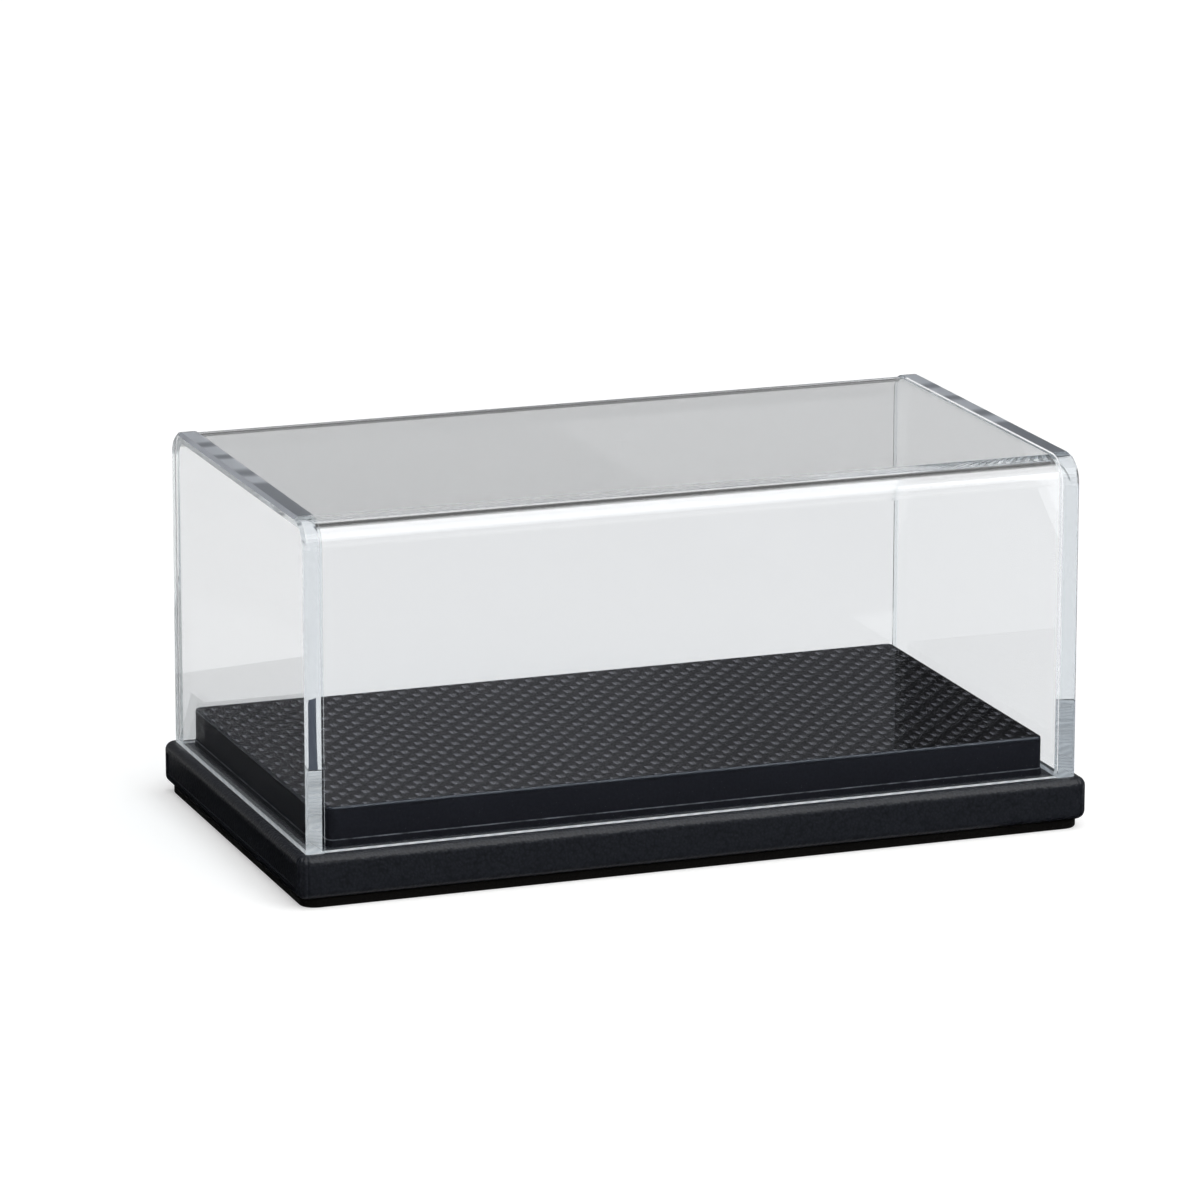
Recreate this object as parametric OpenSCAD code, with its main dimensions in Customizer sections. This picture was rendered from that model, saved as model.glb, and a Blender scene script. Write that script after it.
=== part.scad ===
// Display case for a small model car: a clear cover that lifts off a leather-covered base,
// and a black plinth with a carbon-weave top that the car stands on.
// Millimetres, +Z up, front at -Y. The origin is the middle of the underside.

/* [Clear cover] */
// Length of the cover over its end panels
cover_l = 150; // [110:1:220]
// Depth of the cover over its end panels, front to back
cover_w = 81; // [60:1:120]
// Height of the cover
cover_h = 61; // [40:1:110]
// Thickness of the two end panels
panel_t = 3.5; // [2:0.1:5]
// Bevel along the outer edge of the end panels
panel_bevel = 0.6; // [0.2:0.1:1.2]
// How far the end panels stand proud of the bent sheet
panel_proud = 0.3; // [0.1:0.1:0.8]
// Thickness of the bent sheet that is front, top and back
sheet_t = 2; // [1.5:0.1:4]
// Outside radius of the bent sheet's two bends
bend_r = 5; // [4.5:0.1:9]

/* [Plinth] */
// Gap between the plinth's foot and the cover's inner walls
plinth_gap = 1.5; // [0.5:0.1:4]
// Thickness of the plinth's foot plate
foot_t = 1.4; // [0.8:0.1:4]
// How far the foot plate stands out past the plinth block
foot_ledge = 0.15; // [0.05:0.05:0.4]
// Height of the plinth block
block_h = 5.3; // [3:0.1:12]
// Thickness of the carbon-weave sheet on the block
carbon_t = 0.7; // [0.5:0.1:1.5]
// Radius of the rounded edge along the top of the carbon-weave sheet
carbon_edge_r = 0.45; // [0.1:0.05:0.45]
// Radius of the plinth's upright corners
plinth_corner_r = 1.4; // [0.8:0.1:4]

/* [Base] */
// How far the leather stands out past the cover
leather_margin = 2; // [0.5:0.1:6]
// Thickness of the leather
leather_t = 1; // [0.7:0.1:1.6]
// Radius of the leather's rounded top and bottom edges
leather_edge_r = 1.6; // [0.8:0.1:2]
// Radius of the leather's upright corners
leather_corner_r = 2.2; // [2:0.1:6]
// Width of the leather that is turned in under the board
leather_turn_in = 14; // [6:1:24]
// Thickness of the board inside the leather
board_t = 6; // [4:0.5:12]
// Thickness of the felt pad under the base
felt_t = 1.8; // [1:0.1:4]
// How far the felt pad's edge lies in from the leather's face
felt_inset = 1.1; // [0.5:0.1:5]
// Radius of the felt pad's corners
felt_corner_r = 3; // [1:0.1:8]

/* [Hidden] */
$fn = 64;

// Cutting shapes run past the faces that they cut by this much
over = 1;

// Levels, from the underside up
leather_z = felt_t;
board_z = leather_z + leather_t;
cover_z = board_z + board_t + leather_t;
block_z = cover_z + foot_t;
carbon_z = block_z + block_h;

// Lengths along X and depths along Y
sheet_l = cover_l - 2 * panel_t;
sheet_w = cover_w - 2 * panel_proud;
sheet_h = cover_h - panel_proud;
foot_l = sheet_l - 2 * plinth_gap;
foot_w = sheet_w - 2 * sheet_t - 2 * plinth_gap;
block_l = foot_l - 2 * foot_ledge;
block_w = foot_w - 2 * foot_ledge;
leather_l = cover_l + 2 * leather_margin;
leather_w = cover_w + 2 * leather_margin;
leather_h = 2 * leather_t + board_t;
board_l = leather_l - 2 * leather_t;
board_w = leather_w - 2 * leather_t;
felt_l = leather_l - 2 * felt_inset;
felt_w = leather_w - 2 * felt_inset;

// The end panels' top corners stay the same distance outside the bends all the way round
panel_r = bend_r + panel_proud;

// Rectangle with round corners
module rounded_rectangle(l, w, r) {
    square([l - 2 * r, w], center = true);
    square([l, w - 2 * r], center = true);
    for (x = [-1, 1], y = [-1, 1])
        translate([x * (l / 2 - r), y * (w / 2 - r)])
            circle(r);
}

// Upright outline with round top corners, standing on y = 0
module arch(w, h, r) {
    translate([-w / 2, 0])
        square([w, h - r]);
    translate([-w / 2 + r, 0])
        square([w - 2 * r, h]);
    for (x = [-1, 1])
        translate([x * (w / 2 - r), h - r])
            circle(r);
}

// Slab side view standing on y = 0, with its top and bottom corners round
module slab_side(span, h, top_r, bottom_r) {
    intersection() {
        arch(span, h, top_r);
        translate([0, h])
            mirror([0, 1])
                arch(span, h, bottom_r);
    }
}

// Slab with round upright corners and rounded edges along its top and bottom
module soft_edged_slab(l, w, h, corner_r, edge_r) {
    intersection() {
        linear_extrude(h)
            rounded_rectangle(l, w, corner_r);
        rotate([90, 0, 0])
            linear_extrude(w + 2 * over, center = true)
                slab_side(l, h, edge_r, edge_r);
        rotate([90, 0, 90])
            linear_extrude(l + 2 * over, center = true)
                slab_side(w, h, edge_r, edge_r);
    }
}

// Section of the bevel: outward distance from the panel's edge, then height through the panel
function bevel_section() = [
    [-panel_bevel - over, panel_t + over],
    [over, panel_t + over],
    [over, panel_t - panel_bevel - over]
];

// What the bevel takes off the panel's uprights, top corners and top edge
module bevel_cut() {
    for (side = [0, 1])
        mirror([side, 0, 0]) {
            translate([cover_w / 2, -over, 0])
                rotate([-90, 0, 0])
                    linear_extrude(cover_h - panel_r + over)
                        mirror([0, 1])
                            polygon(bevel_section());
            translate([cover_w / 2 - panel_r, cover_h - panel_r, 0])
                rotate_extrude(angle = 90)
                    translate([panel_r, 0])
                        polygon(bevel_section());
        }
    translate([panel_r - cover_w / 2, cover_h, 0])
        rotate([90, 0, 90])
            linear_extrude(cover_w - 2 * panel_r)
                polygon(bevel_section());
}

// End panel lying flat, outer face up, with its bottom edge along y = 0
module end_panel() {
    difference() {
        linear_extrude(panel_t)
            arch(cover_w, cover_h, panel_r);
        bevel_cut();
    }
}

// One sheet bent twice: front, top and back of the cover
module cover_sheet() {
    color([0.85, 0.9, 0.92, 0.35])
        translate([-sheet_l / 2, 0, cover_z])
            rotate([90, 0, 90])
                linear_extrude(sheet_l)
                    difference() {
                        arch(sheet_w, sheet_h, bend_r);
                        translate([0, -over])
                            arch(sheet_w - 2 * sheet_t, sheet_h - sheet_t + over, bend_r - sheet_t);
                    }
}

// Flat panel bonded over the right end of the bent sheet
module right_end_panel() {
    color([0.82, 0.88, 0.92, 0.35])
        translate([sheet_l / 2, 0, cover_z])
            rotate([90, 0, 90])
                end_panel();
}

// Flat panel bonded over the left end of the bent sheet
module left_end_panel() {
    mirror([1, 0, 0])
        right_end_panel();
}

// Thin sheet with the carbon weave, its upper edge rounded over
module carbon_sheet() {
    color([0.2, 0.2, 0.21])
        translate([0, 0, carbon_z])
            intersection() {
                linear_extrude(carbon_t)
                    rounded_rectangle(block_l, block_w, plinth_corner_r);
                rotate([90, 0, 0])
                    linear_extrude(block_w + 2 * over, center = true)
                        arch(block_l, carbon_t, carbon_edge_r);
                rotate([90, 0, 90])
                    linear_extrude(block_l + 2 * over, center = true)
                        arch(block_w, carbon_t, carbon_edge_r);
            }
}

// Black block that raises the car
module plinth_block() {
    color([0.09, 0.09, 0.1])
        translate([0, 0, block_z])
            linear_extrude(block_h)
                rounded_rectangle(block_l, block_w, plinth_corner_r);
}

// Thin plate under the block that the cover drops round
module foot_plate() {
    color([0.1, 0.1, 0.11])
        translate([0, 0, cover_z])
            linear_extrude(foot_t)
                rounded_rectangle(foot_l, foot_w, plinth_corner_r + foot_ledge);
}

// Leather drawn over the board's top and sides and turned in underneath
module leather_wrap() {
    color([0.07, 0.07, 0.075])
        difference() {
            translate([0, 0, leather_z])
                soft_edged_slab(leather_l, leather_w, leather_h, leather_corner_r, leather_edge_r);
            base_board();
            translate([0, 0, leather_z - over])
                linear_extrude(leather_t + 2 * over)
                    square([leather_l - 2 * leather_turn_in, leather_w - 2 * leather_turn_in], center = true);
        }
}

// Stiff board inside the leather
module base_board() {
    color([0.55, 0.42, 0.3])
        translate([0, 0, board_z])
            linear_extrude(board_t)
                rounded_rectangle(board_l, board_w, leather_corner_r - leather_t);
}

// Felt pad that the case stands on
module felt_pad() {
    color([0.05, 0.05, 0.05])
        linear_extrude(felt_t)
            rounded_rectangle(felt_l, felt_w, felt_corner_r);
}

cover_sheet();
left_end_panel();
right_end_panel();
carbon_sheet();
plinth_block();
foot_plate();
leather_wrap();
base_board();
felt_pad();
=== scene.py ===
"""Looks of the model car display case: a clear acrylic cover over a carbon-weave plinth on a leather-covered base."""
import math

import bmesh
import bpy
from mathutils import Matrix, Vector


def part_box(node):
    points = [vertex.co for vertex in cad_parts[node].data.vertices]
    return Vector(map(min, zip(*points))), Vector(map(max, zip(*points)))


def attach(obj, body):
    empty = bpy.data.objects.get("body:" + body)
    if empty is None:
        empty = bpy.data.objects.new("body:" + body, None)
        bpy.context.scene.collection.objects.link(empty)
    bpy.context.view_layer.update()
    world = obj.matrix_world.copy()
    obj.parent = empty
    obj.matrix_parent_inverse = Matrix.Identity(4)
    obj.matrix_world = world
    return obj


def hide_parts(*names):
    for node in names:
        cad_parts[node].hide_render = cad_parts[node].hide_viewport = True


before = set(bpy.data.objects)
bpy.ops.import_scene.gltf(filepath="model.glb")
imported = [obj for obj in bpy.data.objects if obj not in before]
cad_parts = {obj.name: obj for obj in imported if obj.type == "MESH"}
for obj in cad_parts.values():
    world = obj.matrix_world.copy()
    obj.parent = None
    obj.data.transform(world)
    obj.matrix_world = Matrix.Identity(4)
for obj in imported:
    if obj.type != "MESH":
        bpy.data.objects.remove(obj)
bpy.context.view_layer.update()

MM = 0.001

# Sizes that the boxes of the CAD nodes don't give, as in the part's source
PANEL_PROUD = 0.3 * MM
PANEL_BEVEL = 0.6 * MM
SHEET_T = 2 * MM
BEND_R = 5 * MM
PLINTH_CORNER_R = 1.4 * MM
FOOT_CORNER_R = 1.55 * MM
CARBON_EDGE_R = 0.45 * MM
LEATHER_T = 1 * MM
LEATHER_EDGE_R = 1.6 * MM
LEATHER_CORNER_R = 2.2 * MM
LEATHER_TURN_IN = 14 * MM
FELT_CORNER_R = 3 * MM

# Seam on the leather's ends: how far in from the flat's edges it runs, and how deep the end pieces lie behind it
SEAM_INSET = 0.4 * MM
SEAM_DEPTH = 0.2 * MM
PLEAT_DEPTH = 0.15 * MM

# Softened edges of the block, the foot plate and the felt
BLOCK_EDGE_R = 0.1 * MM
FOOT_EDGE_R = 0.2 * MM
FELT_EDGE_R = 0.4 * MM

# How near a point has to be to a plane to count as lying on it
ON_PLANE = 0.01 * MM

# Edges that turn less than this are shaded as one round face
SMOOTH_ANGLE = math.radians(40)

# Steps in each rounded upright corner of the leather
LEATHER_CORNER_STEPS = 12

# Bands of a wave texture at scale 1, per unit of length
WAVES_PER_UNIT = 20 / (2 * math.pi)

# Refractive index of acrylic
ACRYLIC_IOR = 1.49

# Thickness of a card on the floor, so that cards that lie on others don't share a plane
CARD_T = 0.03 * MM


# Modelling, as by hand

def start_block(name, low, high):
    """A cube between two corners, in edit mode, with its place in its mesh."""
    bpy.ops.object.select_all(action="DESELECT")
    bpy.ops.mesh.primitive_cube_add(size=1, location=(low + high) / 2)
    piece = bpy.context.object
    piece.name = piece.data.name = name
    piece.scale = high - low
    bpy.ops.object.transform_apply(location=True, rotation=True, scale=True)
    bpy.ops.object.mode_set(mode="EDIT")
    return piece


def pick(piece, kind, test):
    """Selects the piece's VERT, EDGE or FACE elements that the test is true for, and nothing else."""
    bpy.ops.mesh.select_mode(type=kind)
    bpy.ops.mesh.select_all(action="DESELECT")
    mesh = bmesh.from_edit_mesh(piece.data)
    mesh.normal_update()
    elements = {"VERT": mesh.verts, "EDGE": mesh.edges, "FACE": mesh.faces}[kind]
    for element in elements:
        if test(element):
            element.select_set(True)
    mesh.select_flush_mode()
    bmesh.update_edit_mesh(piece.data)


def runs_along(edge, axis):
    """True if an edge lies along X (0), Y (1) or Z (2)."""
    a, b = (v.co for v in edge.verts)
    return abs((b - a).normalized()[axis]) > 0.999


def at(element, axis, place):
    """True if all of an edge's or face's corners have this coordinate."""
    return all(abs(v.co[axis] - place) < ON_PLANE for v in element.verts)


def round_edges(piece, radius, segments, test):
    pick(piece, "EDGE", test)
    bpy.ops.mesh.bevel(offset_type="OFFSET", offset=radius, segments=segments, affect="EDGES")


def coat_faces(piece, materials, coat_of):
    """Gives the piece its materials, and each face the one that coat_of names by its place in the list."""
    for material in materials:
        piece.data.materials.append(material)
    for face in piece.data.polygons:
        face.material_index = coat_of(face)


def apply_modifier(piece, kind, **settings):
    modifier = piece.modifiers.new(kind.lower(), kind)
    for name, value in settings.items():
        setattr(modifier, name, value)
    bpy.context.view_layer.objects.active = piece
    bpy.ops.object.modifier_apply(modifier=modifier.name)


def smooth_rounds(piece):
    """Smooth shading over the rounded edges, with the flat faces kept flat."""
    bpy.ops.object.mode_set(mode="OBJECT")
    bpy.ops.object.shade_smooth_by_angle(angle=SMOOTH_ANGLE)
    apply_modifier(piece, "WEIGHTED_NORMAL", weight=100, keep_sharp=True)


# Materials

def colour(hexa):
    """An sRGB hex value as linear red, green, blue and alpha."""
    parts = [int(hexa[i:i + 2], 16) / 255 for i in (1, 3, 5)]
    return [c / 12.92 if c <= 0.04045 else ((c + 0.055) / 1.055) ** 2.4 for c in parts] + [1]


def add(tree, kind, settings=None, **sockets):
    """Adds a node, sets its settings, and fills its inputs with values or with links from other nodes' outputs.
    An input is named with _ for each space, or by its number as in_0."""
    node = tree.nodes.new("ShaderNode" + kind)
    for name, value in (settings or {}).items():
        setattr(node, name, value)
    for name, value in sockets.items():
        place = int(name[3:]) if name.startswith("in_") else name.replace("_", " ")
        if isinstance(value, bpy.types.NodeSocket):
            tree.links.new(value, node.inputs[place])
        else:
            node.inputs[place].default_value = value
    return node


def new_material(name):
    material = bpy.data.materials.new(name)
    material.use_nodes = True
    material.node_tree.nodes.clear()
    return material, material.node_tree


def clear_to_lamps(tree, shader, tint):
    """Lets lamp light and scattered light through a clear shader without bending it, and ends the material."""
    path = add(tree, "LightPath")
    passes = add(tree, "Math", {"operation": "MAXIMUM"},
                 in_0=path.outputs["Is Shadow Ray"], in_1=path.outputs["Is Diffuse Ray"])
    through = add(tree, "BsdfTransparent", Color=colour(tint))
    mixed = add(tree, "MixShader", in_0=passes.outputs[0], in_1=shader.outputs[0], in_2=through.outputs[0])
    add(tree, "OutputMaterial", Surface=mixed.outputs[0])


def cast_acrylic(name, roughness):
    # Cast acrylic sheet, as polished as it left the mould: water clear, a faint cool grey through its thickness. Where
    # the sheet was heated and bent it is a little less smooth, which blurs the light that runs along the bend.
    material, tree = new_material(name)
    shader = add(tree, "BsdfPrincipled", Base_Color=colour("#FAFBFC"), Roughness=roughness, IOR=ACRYLIC_IOR,
                 Transmission_Weight=1.0)
    clear_to_lamps(tree, shader, "#F4F6F7")
    return material


def polished_acrylic():
    # Polished upright edge of an end panel: the long way through the sheet behind it turns the light a cool grey
    material, tree = new_material("polished_acrylic_edge")
    shader = add(tree, "BsdfPrincipled", Base_Color=colour("#DEE3E7"), Roughness=0.0, IOR=ACRYLIC_IOR,
                 Transmission_Weight=1.0)
    clear_to_lamps(tree, shader, "#E8ECEE")
    return material


def milled_edge_painted_light():
    # Milled top edge of an end panel: a smooth grey band over the edge's own frosted grey, with painted shade towards
    # the front, painted reflections in patches towards the back, and a painted highlight on its bevel
    material, tree = new_material("milled_edge_painted_light_edge")
    texture = add(tree, "TexCoord")
    depth = add(tree, "SeparateXYZ", in_0=texture.outputs["Object"]).outputs["Y"]
    slope = add(tree, "SeparateXYZ", in_0=texture.outputs["Normal"]).outputs["X"]
    painted_reflections = add(tree, "TexWave", {"bands_direction": "Y"}, Vector=texture.outputs["Object"],
                  Scale=1 / (13 * MM) / WAVES_PER_UNIT, Distortion=3.0, Detail=2.0, Detail_Scale=1.2)
    rear = add(tree, "ValToRGB", Fac=painted_reflections.outputs["Fac"])
    rear.color_ramp.elements[0].color = colour("#70747C")
    rear.color_ramp.elements[1].color = colour("#C3C7CF")
    rear.color_ramp.elements[1].position = 0.45
    # Painted shade on the front of the band, painted reflections in patches on its rear
    half = add(tree, "MapRange", {"interpolation_type": "SMOOTHSTEP"}, Value=depth, From_Min=-10 * MM,
               From_Max=-7 * MM)
    band = add(tree, "MixRGB", Fac=half.outputs[0], Color1=colour("#767A82"), Color2=rear.outputs["Color"])
    # Painted highlight on the bevel, which faces outwards
    steep = add(tree, "Math", {"operation": "ABSOLUTE"}, in_0=slope)
    bevel = add(tree, "Math", {"operation": "GREATER_THAN"}, in_0=steep.outputs[0], in_1=0.35)
    shade = add(tree, "MixRGB", Fac=bevel.outputs[0], Color1=band.outputs["Color"], Color2=colour("#C4C6D0"))
    shader = add(tree, "BsdfPrincipled", Base_Color=shade.outputs["Color"], Roughness=0.3, IOR=ACRYLIC_IOR,
                 Transmission_Weight=0.55)
    clear_to_lamps(tree, shader, "#E8ECEE")
    return material


def sawn_acrylic(name, clear, dark, pale):
    # Sawn edge of the same sheet: frosted white, with slanted saw marks a little over 2 mm apart
    material, tree = new_material(name)
    place = add(tree, "TexCoord").outputs["Object"]
    turned = add(tree, "Mapping", Vector=place, Rotation=(0, 0, math.radians(35)))
    marks = add(tree, "TexWave", {"bands_direction": "X"}, Vector=turned.outputs[0],
                Scale=1 / (2.368 * MM) / WAVES_PER_UNIT, Distortion=2.0, Detail=3.0, Detail_Scale=2.0)
    dents = add(tree, "Bump", Strength=0.5, Distance=0.2 * MM, Height=marks.outputs["Fac"])
    shade = add(tree, "ValToRGB", Fac=marks.outputs["Fac"])
    shade.color_ramp.elements[0].color = colour(dark)
    shade.color_ramp.elements[1].color = colour(pale)
    shader = add(tree, "BsdfPrincipled", Base_Color=shade.outputs["Color"], Roughness=0.4, IOR=ACRYLIC_IOR,
                 Transmission_Weight=clear, Normal=dents.outputs[0])
    clear_to_lamps(tree, shader, "#E4E8EA")
    return material


def solvent_joint():
    # Solvent-bonded joint: the two sheets have become one, so nothing shows but their common clear acrylic
    material, tree = new_material("solvent_joint")
    through = add(tree, "BsdfTransparent", Color=colour("#FDFEFE"))
    add(tree, "OutputMaterial", Surface=through.outputs[0])
    return material


def carbon_weave():
    # Carbon fibre in plain weave under clear gloss lacquer: the tows along Y are painted pale, standing in for the
    # light they catch, with a painted highlight brightest on their left side, and tows along X stay dark
    tow_x, tow_y, float_x, float_y = 2.145, 2.5, 0.9, 1.7
    squeeze = (tow_y - float_y) / (2 * tow_x - float_x)
    material, tree = new_material("carbon_weave")
    texture = add(tree, "TexCoord")
    squeezed = add(tree, "Mapping", Vector=texture.outputs["Object"], Scale=(squeeze, 1, 1))
    floats = add(tree, "TexBrick", {"offset": 0.5}, Vector=squeezed.outputs[0], Color1=colour("#4F4F51"),
                 Color2=colour("#464648"), Mortar=colour("#0A0A0C"), Scale=1 / MM, Mortar_Size=(tow_y - float_y) / 2,
                 Mortar_Smooth=0.25, Brick_Width=2 * tow_x * squeeze, Row_Height=tow_y)
    along = add(tree, "SeparateXYZ", in_0=texture.outputs["Object"]).outputs["X"]
    tows = add(tree, "Math", {"operation": "MULTIPLY_ADD"}, in_0=along, in_1=1 / (tow_x * MM), in_2=0.5)
    across = add(tree, "Math", {"operation": "FRACT"}, in_0=tows.outputs[0])
    # Painted highlight across each tow along Y, brightest on its left side
    shine = add(tree, "MapRange", Value=across.outputs[0], From_Min=0.28, From_Max=0.72, To_Min=1.8, To_Max=0.5)
    shade = add(tree, "VectorMath", {"operation": "SCALE"}, in_0=floats.outputs["Color"], Scale=shine.outputs[0])
    gloss = add(tree, "MapRange", Value=floats.outputs["Fac"], To_Min=1.0, To_Max=0.5)
    shader = add(tree, "BsdfPrincipled", Base_Color=shade.outputs[0], Roughness=0.9, Specular_IOR_Level=0.08,
                 Coat_Weight=gloss.outputs[0], Coat_Roughness=0.03, Coat_IOR=1.5, Coat_Tint=colour("#F4F4FA"))
    add(tree, "OutputMaterial", Surface=shader.outputs[0])
    return material


def clear_lacquer():
    # Lacquer run thick over the carbon sheet's rounded edge: a cool black with a narrow bluish line of light
    material, tree = new_material("clear_lacquer_edge")
    place = add(tree, "TexCoord").outputs["Object"]
    runs = add(tree, "TexNoise", Vector=place, Scale=1 / (6 * MM), Detail=2.0)
    shade = add(tree, "ValToRGB", Fac=runs.outputs["Fac"])
    shade.color_ramp.elements[0].color = colour("#22242A")
    shade.color_ramp.elements[1].color = colour("#31343C")
    shader = add(tree, "BsdfPrincipled", Base_Color=shade.outputs["Color"], Roughness=0.18, Specular_IOR_Level=0.6,
                 Specular_Tint=colour("#E6F0FA"))
    add(tree, "OutputMaterial", Surface=shader.outputs[0])
    return material


def satin_black():
    # Satin black lacquer on a milled block: a cool black, a soft sheen, and a very fine spray grain
    material, tree = new_material("satin_black_lacquer")
    place = add(tree, "TexCoord").outputs["Object"]
    grain = add(tree, "TexNoise", Vector=place, Scale=1 / (0.5 * MM), Detail=2.0)
    dents = add(tree, "Bump", Strength=0.08, Distance=0.05 * MM, Height=grain.outputs["Fac"])
    shade = add(tree, "ValToRGB", Fac=grain.outputs["Fac"])
    shade.color_ramp.elements[0].color = colour("#1F2025")
    shade.color_ramp.elements[1].color = colour("#2B2C33")
    shader = add(tree, "BsdfPrincipled", Base_Color=shade.outputs["Color"], Roughness=0.5, Specular_IOR_Level=0.02,
                 Normal=dents.outputs[0])
    add(tree, "OutputMaterial", Surface=shader.outputs[0])
    return material


def foot_edge_painted_highlight():
    # Painted highlight along a plate's rounded edge: the same lacquer painted as a lighter grey line, a little uneven
    material, tree = new_material("black_lacquer_painted_highlight")
    place = add(tree, "TexCoord").outputs["Object"]
    uneven_highlight = add(tree, "TexNoise", Vector=place, Scale=1 / (3 * MM), Detail=4.0, Roughness=0.65)
    shade = add(tree, "ValToRGB", Fac=uneven_highlight.outputs["Fac"])
    shade.color_ramp.elements[0].color = colour("#33353A")
    shade.color_ramp.elements[0].position = 0.35
    shade.color_ramp.elements[1].color = colour("#70737A")
    shade.color_ramp.elements[1].position = 0.7
    shader = add(tree, "BsdfPrincipled", Base_Color=shade.outputs["Color"], Roughness=0.4, Specular_IOR_Level=0.2)
    add(tree, "OutputMaterial", Surface=shader.outputs[0])
    return material


def pebbled_leather():
    # Black grained leather: fine pebbles about 0.5 mm across on faint swells, a cool black with a dull shine
    material, tree = new_material("pebbled_leather")
    place = add(tree, "TexCoord").outputs["Object"]
    pebbles = add(tree, "TexVoronoi", {"feature": "SMOOTH_F1"}, Vector=place, Scale=1 / (0.5 * MM), Smoothness=0.5)
    swell = add(tree, "TexNoise", Vector=place, Scale=1 / (2.5 * MM), Detail=2.0)
    slow = add(tree, "Math", {"operation": "MULTIPLY"}, in_0=swell.outputs["Fac"], in_1=0.25)
    height = add(tree, "Math", {"operation": "SUBTRACT"}, in_0=slow.outputs[0], in_1=pebbles.outputs["Distance"])
    dents = add(tree, "Bump", Strength=0.5, Distance=0.15 * MM, Height=height.outputs[0])
    # Painted shade: the leather is darker in the hollows between the pebbles
    shade = add(tree, "ValToRGB", Fac=pebbles.outputs["Distance"])
    shade.color_ramp.elements[0].color = colour("#25282F")
    shade.color_ramp.elements[1].color = colour("#13151A")
    shader = add(tree, "BsdfPrincipled", Base_Color=shade.outputs["Color"], Roughness=0.36, Specular_IOR_Level=0.3,
                 Normal=dents.outputs[0])
    add(tree, "OutputMaterial", Surface=shader.outputs[0])
    return material


def pressed_felt():
    # Pressed wool felt: matted fibres with no shine and a faint sheen, the fibres that stand up painted a lighter
    # brownish black as a painted sheen
    material, tree = new_material("pressed_felt")
    place = add(tree, "TexCoord").outputs["Object"]
    fibres = add(tree, "TexNoise", Vector=place, Scale=1 / (0.4 * MM), Detail=6.0, Roughness=0.7)
    dents = add(tree, "Bump", Strength=0.8, Distance=0.2 * MM, Height=fibres.outputs["Fac"])
    # Painted sheen: fibres that stand up are lighter
    shade = add(tree, "ValToRGB", Fac=fibres.outputs["Fac"])
    shade.color_ramp.elements[0].color = colour("#050505")
    shade.color_ramp.elements[1].color = colour("#12100E")
    shader = add(tree, "BsdfPrincipled", Base_Color=shade.outputs["Color"], Roughness=0.95, Specular_IOR_Level=0.05,
                 Sheen_Weight=0.06, Sheen_Roughness=0.5, Normal=dents.outputs[0])
    add(tree, "OutputMaterial", Surface=shader.outputs[0])
    return material


def fibreboard():
    # Sawn fibreboard: warm brown, speckled with pressed fibres
    material, tree = new_material("sawn_fibreboard")
    place = add(tree, "TexCoord").outputs["Object"]
    fibres = add(tree, "TexNoise", Vector=place, Scale=1 / (0.8 * MM), Detail=5.0)
    shade = add(tree, "ValToRGB", Fac=fibres.outputs["Fac"])
    shade.color_ramp.elements[0].color = colour("#7C5F43")
    shade.color_ramp.elements[1].color = colour("#B08E68")
    shader = add(tree, "BsdfPrincipled", Base_Color=shade.outputs["Color"], Roughness=0.9)
    add(tree, "OutputMaterial", Surface=shader.outputs[0])
    return material


ACRYLIC, BENT, JOINT = cast_acrylic("cast_acrylic", 0.0), cast_acrylic("heat_bent_acrylic", 0.08), solvent_joint()
UPRIGHT_EDGE, TOP_EDGE = polished_acrylic(), milled_edge_painted_light()
SHEET_EDGE = sawn_acrylic("sawn_sheet_edge", 0.08, "#DCE1E5", "#FAFBFC")
# The panels' sawn edges are copies of the sheet's: the left one painted a touch paler as painted light, the right one
# painted darker as painted shade
SAWN_EDGE_PAINTED_BY_SIDE = {-1: sawn_acrylic("sawn_left_painted_light", 0.15, "#E2E6EA", "#FDFEFE"),
              1: sawn_acrylic("sawn_right_painted_shade", 0.2, "#9AA1A9", "#C4CAD0")}
WEAVE, WEAVE_EDGE, LACQUER, FOOT_EDGE_PAINTED_HIGHLIGHT = carbon_weave(), clear_lacquer(), satin_black(), foot_edge_painted_highlight()
LEATHER, FELT, BOARD = pebbled_leather(), pressed_felt(), fibreboard()


# Clear cover

def bent_sheet():
    """The front, top and back: a channel with two rounded bends, then its thickness inwards."""
    low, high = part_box("cover_sheet")
    piece = start_block("bent_sheet", low, high)
    pick(piece, "FACE", lambda f: f.normal.z < -0.9 or abs(f.normal.x) > 0.9)
    bpy.ops.mesh.delete(type="FACE")
    round_edges(piece, BEND_R, 48, lambda e: at(e, 2, high.z) and runs_along(e, 0))
    bpy.ops.object.mode_set(mode="OBJECT")
    apply_modifier(piece, "SOLIDIFY", thickness=SHEET_T, offset=-1, use_even_offset=True, use_quality_normals=True)

    def coat_of(face):
        if face.center.z < low.z + ON_PLANE:
            return 1
        if abs(face.normal.x) > 0.9:
            return 2
        return 3 if 0.01 < abs(face.normal.z) < 0.9999 else 0

    coat_faces(piece, [ACRYLIC, SHEET_EDGE, JOINT, BENT], coat_of)
    smooth_rounds(piece)
    return piece


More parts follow.
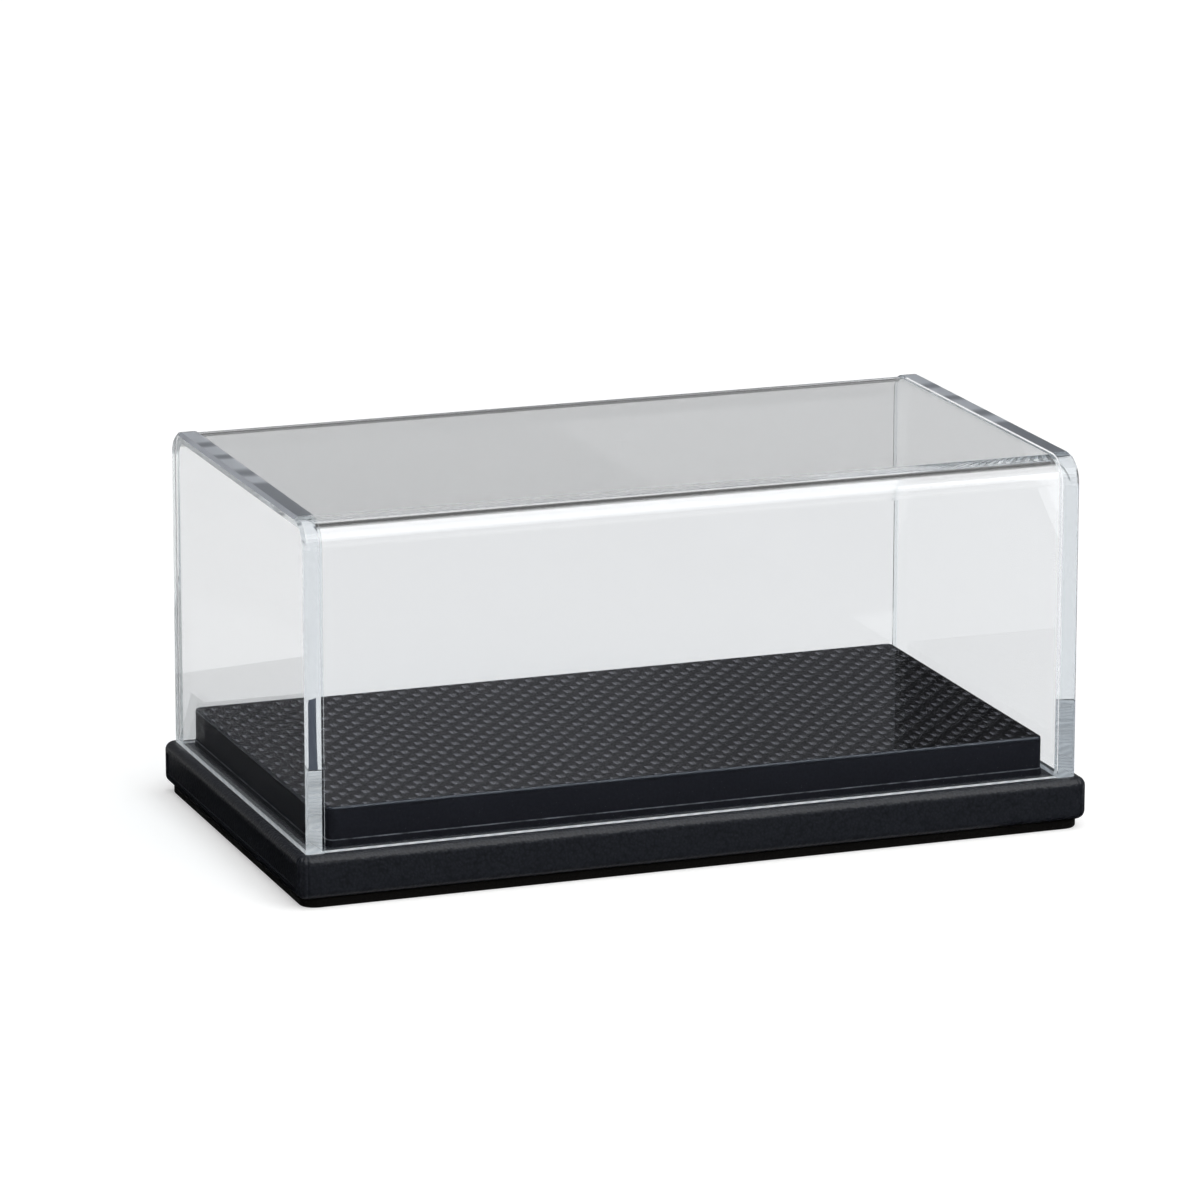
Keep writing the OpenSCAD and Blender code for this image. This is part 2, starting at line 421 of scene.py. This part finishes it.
def end_panel(name, node, side):
    """A flat panel with round top corners, bevelled outside. Its inner face is split where the bent sheet is bonded."""
    low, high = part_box(node)
    inner_x = low.x if side > 0 else high.x
    panel_r = BEND_R + PANEL_PROUD
    bpy.ops.object.select_all(action="DESELECT")
    bpy.ops.mesh.primitive_plane_add(size=1, location=(inner_x, 0, (low.z + high.z) / 2),
                                     rotation=(0, math.pi / 2, 0))
    piece = bpy.context.object
    piece.name = piece.data.name = name
    piece.scale = (high.z - low.z, high.y - low.y, 1)
    bpy.ops.object.transform_apply(location=True, rotation=True, scale=True)
    bpy.ops.object.mode_set(mode="EDIT")
    pick(piece, "VERT", lambda v: v.co.z > high.z - ON_PLANE)
    bpy.ops.mesh.bevel(offset_type="OFFSET", offset=panel_r, segments=24, affect="VERTICES")
    for width in (PANEL_PROUD, SHEET_T):
        pick(piece, "FACE", lambda f: f.calc_area() > 0.5 * (high.y - low.y) * (high.z - low.z))
        bpy.ops.mesh.inset(thickness=width, depth=0, use_boundary=True, use_even_offset=True)
        pick(piece, "VERT", lambda v: abs(v.co.z - low.z - width) < ON_PLANE)
        bpy.ops.transform.translate(value=(0, 0, -width))
    pick(piece, "FACE", lambda f: at(f, 2, low.z))
    bpy.ops.mesh.delete(type="FACE")
    bpy.ops.mesh.select_all(action="SELECT")
    bpy.ops.mesh.delete_loose(use_verts=True, use_edges=True, use_faces=False)
    bpy.ops.mesh.select_all(action="SELECT")
    bpy.ops.mesh.extrude_region_move(TRANSFORM_OT_translate={"value": (side * (high.x - low.x), 0, 0)})
    bpy.ops.mesh.select_all(action="SELECT")
    bpy.ops.mesh.normals_make_consistent(inside=False)
    outer_x = high.x if side > 0 else low.x
    pick(piece, "FACE", lambda f: at(f, 0, outer_x))
    bpy.ops.mesh.dissolve_faces()
    round_edges(piece, PANEL_BEVEL, 1, lambda e: at(e, 0, outer_x) and not at(e, 2, low.z))
    bpy.ops.object.mode_set(mode="OBJECT")

    def coat_of(face):
        if face.normal.z < -0.9:
            return 1
        if face.normal.z > 0.5 and abs(face.normal.y) < 0.01:
            return 4
        if face.normal.z > 0.1 or abs(face.normal.y) > 0.5:
            return 3
        out_y = max(abs(face.center.y) - (high.y - panel_r), 0)
        out_z = max(face.center.z - (high.z - panel_r), 0)
        edge_gap = panel_r - math.hypot(out_y, out_z)
        inside = abs(face.center.x - inner_x) < ON_PLANE
        return 2 if inside and 0.9 * PANEL_PROUD < edge_gap < SHEET_T + PANEL_PROUD else 0

    coat_faces(piece, [ACRYLIC, SAWN_EDGE_PAINTED_BY_SIDE[side], JOINT, UPRIGHT_EDGE, TOP_EDGE], coat_of)
    smooth_rounds(piece)
    return piece


# Plinth

def plinth_slab(name, node, corner_r, edge_r, materials):
    """A slab with round upright corners and softened edges along its top. The materials are for its top, for those
    edges and for its sides."""
    low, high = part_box(node)
    piece = start_block(name, low, high)
    round_edges(piece, corner_r, 8, lambda e: runs_along(e, 2))
    round_edges(piece, edge_r, 5, lambda e: at(e, 2, high.z))
    smooth_rounds(piece)
    coat_faces(piece, materials, lambda f: 0 if f.normal.z > 0.9999 else 1 if f.normal.z > 0.05 else 2)
    return piece


# Base

def leather_cover():
    """Leather over the board's top and sides, turned in underneath. The front and back pieces wrap the corners, over
    the end pieces, which lie a little deeper behind a seam, and the leather is pleated at the corners."""
    low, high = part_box("leather_wrap")
    piece = start_block("leather_cover", low, high)
    round_edges(piece, LEATHER_CORNER_R, LEATHER_CORNER_STEPS, lambda e: runs_along(e, 2))
    round_edges(piece, LEATHER_EDGE_R, 8, lambda e: at(e, 2, high.z) or at(e, 2, low.z))
    pick(piece, "FACE", lambda f: at(f, 0, low.x) or at(f, 0, high.x))
    bpy.ops.mesh.inset(thickness=SEAM_INSET, depth=0, use_individual=True)
    bpy.ops.mesh.inset(thickness=SEAM_DEPTH / 3, depth=-SEAM_DEPTH, use_individual=True)

    def in_pleat(v):
        x, y = abs(v.co.x) - (high.x - LEATHER_CORNER_R), abs(v.co.y) - (high.y - LEATHER_CORNER_R)
        if x <= ON_PLANE or y <= ON_PLANE:
            return False
        step = round(math.atan2(y, x) / (math.pi / 2) * LEATHER_CORNER_STEPS)
        edge_gap = min(high.z - v.co.z, v.co.z - low.z)
        return step % 4 == 2 and 0.1 * LEATHER_EDGE_R < edge_gap < 1.01 * LEATHER_EDGE_R

    pick(piece, "VERT", in_pleat)
    bpy.ops.transform.shrink_fatten(value=-PLEAT_DEPTH)
    opening = (high.x - LEATHER_TURN_IN, high.y - LEATHER_TURN_IN)
    for axis in (0, 1):
        for side in (-1, 1):
            pick(piece, "FACE", lambda f: at(f, 2, low.z))
            normal = Vector((1 - axis, axis, 0))
            bpy.ops.mesh.bisect(plane_co=normal * side * opening[axis], plane_no=normal)

    def in_opening(face):
        middle = face.calc_center_median()
        return at(face, 2, low.z) and abs(middle.x) < opening[0] and abs(middle.y) < opening[1]

    pick(piece, "FACE", in_opening)
    bpy.ops.mesh.delete(type="FACE")
    bpy.ops.object.mode_set(mode="OBJECT")
    apply_modifier(piece, "SOLIDIFY", thickness=LEATHER_T, offset=-1, use_even_offset=True)
    coat_faces(piece, [LEATHER], lambda f: 0)
    smooth_rounds(piece)
    return piece


def felt_sole():
    """Felt pad with a softened edge."""
    low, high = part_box("felt_pad")
    piece = start_block("felt_sole", low, high)
    round_edges(piece, FELT_CORNER_R, 10, lambda e: runs_along(e, 2))
    round_edges(piece, FELT_EDGE_R, 3, lambda e: at(e, 2, high.z) or at(e, 2, low.z))
    smooth_rounds(piece)
    coat_faces(piece, [FELT], lambda f: 0)
    return piece


sheet = bent_sheet()
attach(sheet, "cover")
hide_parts("cover_sheet")

for panel_name, panel_node, panel_side in (("left_panel", "left_end_panel", -1),
                                           ("right_panel", "right_end_panel", 1)):
    panel = end_panel(panel_name, panel_node, panel_side)
    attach(panel, "cover")
    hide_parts(panel_node)

# The foot plate's rounded top edge carries the painted highlight
for slab_name, slab_node, slab_corner, slab_edge, slab_materials, slab_slot in (
        ("weave_sheet", "carbon_sheet", PLINTH_CORNER_R, CARBON_EDGE_R, [WEAVE, WEAVE_EDGE, LACQUER], "carbon_weave"),
        ("black_block", "plinth_block", PLINTH_CORNER_R, BLOCK_EDGE_R, [LACQUER, LACQUER, LACQUER], "black_plinth"),
        ("black_foot", "foot_plate", FOOT_CORNER_R, FOOT_EDGE_R, [LACQUER, FOOT_EDGE_PAINTED_HIGHLIGHT, LACQUER], "black_plinth")):
    slab = plinth_slab(slab_name, slab_node, slab_corner, slab_edge, slab_materials)
    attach(slab, "base")
    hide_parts(slab_node)

leather = leather_cover()
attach(leather, "base")
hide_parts("leather_wrap")

felt = felt_sole()
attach(felt, "base")
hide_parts("felt_pad")

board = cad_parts["base_board"]
board.data.materials.clear()
board.data.materials.append(BOARD)


# Floor, light and camera

def white_floor():
    # Pale studio floor: seen as white, it lights the case like plain paper and still takes its shadow
    material, tree = new_material("studio_floor")
    path = add(tree, "LightPath")
    direct = add(tree, "Math", {"operation": "MULTIPLY"}, in_0=path.outputs["Is Camera Ray"], in_1=0.45)
    through = add(tree, "Math", {"operation": "MULTIPLY"}, in_0=path.outputs["Is Transmission Ray"], in_1=0.35)
    lift = add(tree, "Math", {"operation": "MAXIMUM"}, in_0=direct.outputs[0], in_1=through.outputs[0])
    paper = add(tree, "BsdfDiffuse", Color=colour("#D8D8D8"))
    glow = add(tree, "Emission", Strength=lift.outputs[0])
    both = add(tree, "AddShader", in_0=paper.outputs[0], in_1=glow.outputs[0])
    add(tree, "OutputMaterial", Surface=both.outputs[0])
    bpy.ops.object.select_all(action="DESELECT")
    bpy.ops.mesh.primitive_plane_add(size=40, location=(0, 0, 0))
    floor = bpy.context.object
    floor.name = "floor"
    floor.data.materials.append(material)


def end_card(tree, test, shader):
    """Ends a card's material: only light for which the test is true meets the shader."""
    unseen = add(tree, "BsdfTransparent")
    card = add(tree, "MixShader", in_0=test.outputs[0], in_1=unseen.outputs[0], in_2=shader.outputs[0])
    add(tree, "OutputMaterial", Surface=card.outputs[0])


def lay_card(name, material, corners, layer):
    """A card on the floor, in its layer counted from the floor up. Its four corners, in millimetres, run from the front
    left one to the right and round."""
    bpy.ops.object.select_all(action="DESELECT")
    bpy.ops.mesh.primitive_plane_add(size=2, location=(0, 0, layer * CARD_T))
    piece = bpy.context.object
    piece.name = name
    bpy.ops.object.mode_set(mode="EDIT")
    for (x, y), place in zip(((-1, -1), (1, -1), (1, 1), (-1, 1)), corners):
        pick(piece, "VERT", lambda v: v.co.x == x and v.co.y == y)
        bpy.ops.transform.translate(value=(place[0] * MM - x, place[1] * MM - y, 0))
    bpy.ops.object.mode_set(mode="OBJECT")
    piece.data.materials.append(material)


def reflection_shade_card(name, shade, corners, layer, least=1, most=2):
    # Painted shade in reflections: a matt card lying by the case, met only by light that the case has mirrored so many
    # times
    material, tree = new_material(name)
    mirrored = add(tree, "Math", {"operation": "COMPARE"}, in_0=add(tree, "LightPath").outputs["Glossy Depth"],
                   in_1=(least + most) / 2, in_2=(most - least) / 2 + 0.1)
    paper = add(tree, "BsdfDiffuse", Color=colour(shade))
    end_card(tree, mirrored, paper)
    lay_card(name, material, corners, layer)


def painted_light_card(name, strength, corners, layer):
    # Painted light: a glowing card, brighter than the floor, met only by light that comes straight through the clear
    # walls
    material, tree = new_material(name)
    path = add(tree, "LightPath")
    straight = add(tree, "Math", {"operation": "LESS_THAN"}, in_0=path.outputs["Glossy Depth"], in_1=0.5)
    meets = add(tree, "Math", {"operation": "MULTIPLY"}, in_0=straight.outputs[0],
                in_1=path.outputs["Is Transmission Ray"])
    glow = add(tree, "Emission", Strength=strength)
    end_card(tree, meets, glow)
    lay_card(name, material, corners, layer)


def painted_reflection_veil():
    # Painted reflection: a dim glowing screen far behind the case and above it, which only the weave's lacquer mirrors,
    # least towards the right
    material, tree = new_material("painted_reflection_veil")
    mirrored = add(tree, "Math", {"operation": "COMPARE"}, in_0=add(tree, "LightPath").outputs["Glossy Depth"],
                   in_1=1.0, in_2=0.1)
    across = add(tree, "SeparateXYZ", in_0=add(tree, "TexCoord").outputs["Object"]).outputs["X"]
    fall = add(tree, "MapRange", {"interpolation_type": "SMOOTHSTEP"}, Value=across, From_Min=95 * MM,
               From_Max=150 * MM, To_Min=0.39, To_Max=0.28)
    screen = add(tree, "Emission", Color=colour("#F8F9FF"), Strength=fall.outputs[0])
    end_card(tree, mirrored, screen)
    bpy.ops.object.select_all(action="DESELECT")
    middle, width, height = Vector((15.5, 300, 102)) * MM, 332 * MM, 40 * MM
    bpy.ops.mesh.primitive_plane_add(size=1, location=middle, rotation=(math.pi / 2, 0, 0))
    piece = bpy.context.object
    piece.name = "painted_reflection_veil"
    piece.scale = (width, height, 1)
    bpy.ops.object.transform_apply(location=True, rotation=True, scale=True)
    piece.data.materials.append(material)


def studio_world():
    """A white sweep up to about 10 degrees above the horizon, and a dim room above it. Light that has run along inside
    the clear walls meets plain white."""
    world = bpy.data.worlds.new("studio")
    bpy.context.scene.world = world
    world.use_nodes = True
    tree = world.node_tree
    tree.nodes.clear()
    up = add(tree, "SeparateXYZ", in_0=add(tree, "TexCoord").outputs["Generated"]).outputs["Z"]
    sweep = add(tree, "MapRange", {"interpolation_type": "SMOOTHSTEP"}, Value=up,
                From_Min=math.sin(math.radians(8)), From_Max=math.sin(math.radians(11.5)), To_Min=0.05, To_Max=0.0)
    room = add(tree, "MapRange", {"interpolation_type": "SMOOTHSTEP"}, Value=up,
               From_Min=math.sin(math.radians(12.3)), From_Max=math.sin(math.radians(15.3)), To_Min=0.36, To_Max=0.025)
    both = add(tree, "Math", {"operation": "ADD"}, in_0=sweep.outputs[0], in_1=room.outputs[0])
    path = add(tree, "LightPath")
    piped = add(tree, "Math", {"operation": "GREATER_THAN"}, in_0=path.outputs["Glossy Depth"], in_1=2.5)
    leaving = add(tree, "Math", {"operation": "MULTIPLY"}, in_0=piped.outputs[0],
                  in_1=path.outputs["Is Transmission Ray"])
    lifted = add(tree, "Math", {"operation": "MAXIMUM"}, in_0=both.outputs[0], in_1=leaving.outputs[0])
    strength = add(tree, "Math", {"operation": "MAXIMUM"}, in_0=lifted.outputs[0], in_1=path.outputs["Is Camera Ray"])
    light = add(tree, "Background", Strength=strength.outputs[0])
    add(tree, "OutputWorld", Surface=light.outputs[0])


def lamps():
    """One large soft light overhead, a little to the front and right, and a softbox in front on the right."""
    lamp = bpy.data.lights.new("overhead", "SUN")
    lamp.energy = 2.6
    lamp.angle = math.radians(80)
    sun = bpy.data.objects.new("overhead", lamp)
    bpy.context.scene.collection.objects.link(sun)
    sun.rotation_euler = Vector((0.15, -0.3, 0.94)).to_track_quat("Z", "Y").to_euler()
    lamp = bpy.data.lights.new("softbox", "AREA")
    lamp.shape = "RECTANGLE"
    lamp.size, lamp.size_y = 1.2, 0.8
    lamp.energy = 5.0
    box = bpy.data.objects.new("softbox", lamp)
    bpy.context.scene.collection.objects.link(box)
    towards = Vector((0.3, -0.75, 0.6)).normalized()
    box.location = towards * 1.4
    box.rotation_euler = towards.to_track_quat("Z", "Y").to_euler()
    box.visible_camera = False


def photo_camera():
    """The photograph's viewpoint, from a fit to the case's edges in its 1200 pixel frame."""
    azimuth, elevation, roll = (math.radians(a) for a in (-20.312, 14.318, 0.070))
    back = Vector((math.sin(azimuth) * math.cos(elevation), -math.cos(azimuth) * math.cos(elevation),
                   math.sin(elevation)))
    right = Vector((math.cos(azimuth), math.sin(azimuth), 0))
    up = back.cross(right)
    place = Vector((-0.41537, -1.11075, 0.34319))
    across = right * math.cos(roll) + up * math.sin(roll)
    upright = up * math.cos(roll) - right * math.sin(roll)
    data = bpy.data.cameras.new("camera")
    data.lens = 6557.6 / 1200 * data.sensor_width
    data.clip_end = 100
    camera = bpy.data.objects.new("camera", data)
    bpy.context.scene.collection.objects.link(camera)
    camera.matrix_world = Matrix((across, upright, back)).transposed().to_4x4()
    camera.location = place
    bpy.context.scene.camera = camera


white_floor()
# Grey and black cards paint shade into what the clear walls mirror
reflection_shade_card("reflected_shade_grey", "#B4B4B4", ((-400, -390), (-76, -390), (-76, 119), (-400, 171)), 1)
reflection_shade_card("reflected_shade_black_front", "#161617", ((-250, -390), (250, -390), (250, -43), (-250, -43)), 2)
reflection_shade_card("reflected_shade_black_left", "#101011", ((-250, -43), (-98.4, -43), (-98.4, 99.5), (-132, 99.5)), 2)
reflection_shade_card("reflected_shade_black_left_end", "#101011", ((-98.4, -43), (-76, -43), (-76, 48), (-98.4, 108)), 2)
reflection_shade_card("reflected_shade_black_right", "#161617", ((60, -43), (98, -43), (98, 43), (60, 43)), 2)
reflection_shade_card("reflected_shade_grey_rear", "#909090", ((20, 43), (98, 43), (98, 330), (-76, 330)), 1)
# Painted light on the floor seen through the right panel
painted_light_card("painted_light_card_right", 1.16, ((38, -45), (400, -45), (400, 342), (202.5, 342)), 4)
reflection_shade_card("reflected_shade_black_back", "#161617", ((-3000, 330), (3000, 330), (3000, 6000), (-3000, 6000)), 2)
# Painted shadow of the case on the floor behind, seen only after many reflections inside the clear walls
reflection_shade_card("reflected_shadow_behind", "#5A5F6A", ((-82.5, 72), (-57, 72), (-79.5, 126), (-93, 126)), 3, least=3, most=12)
painted_reflection_veil()
studio_world()
lamps()
photo_camera()
bpy.context.scene.view_settings.view_transform = "Standard"

# Light runs through the clear walls' edges over many reflections before it comes out
light_paths = bpy.context.scene.cycles
light_paths.max_bounces = light_paths.transmission_bounces = light_paths.glossy_bounces = 128
light_paths.transparent_max_bounces = 128
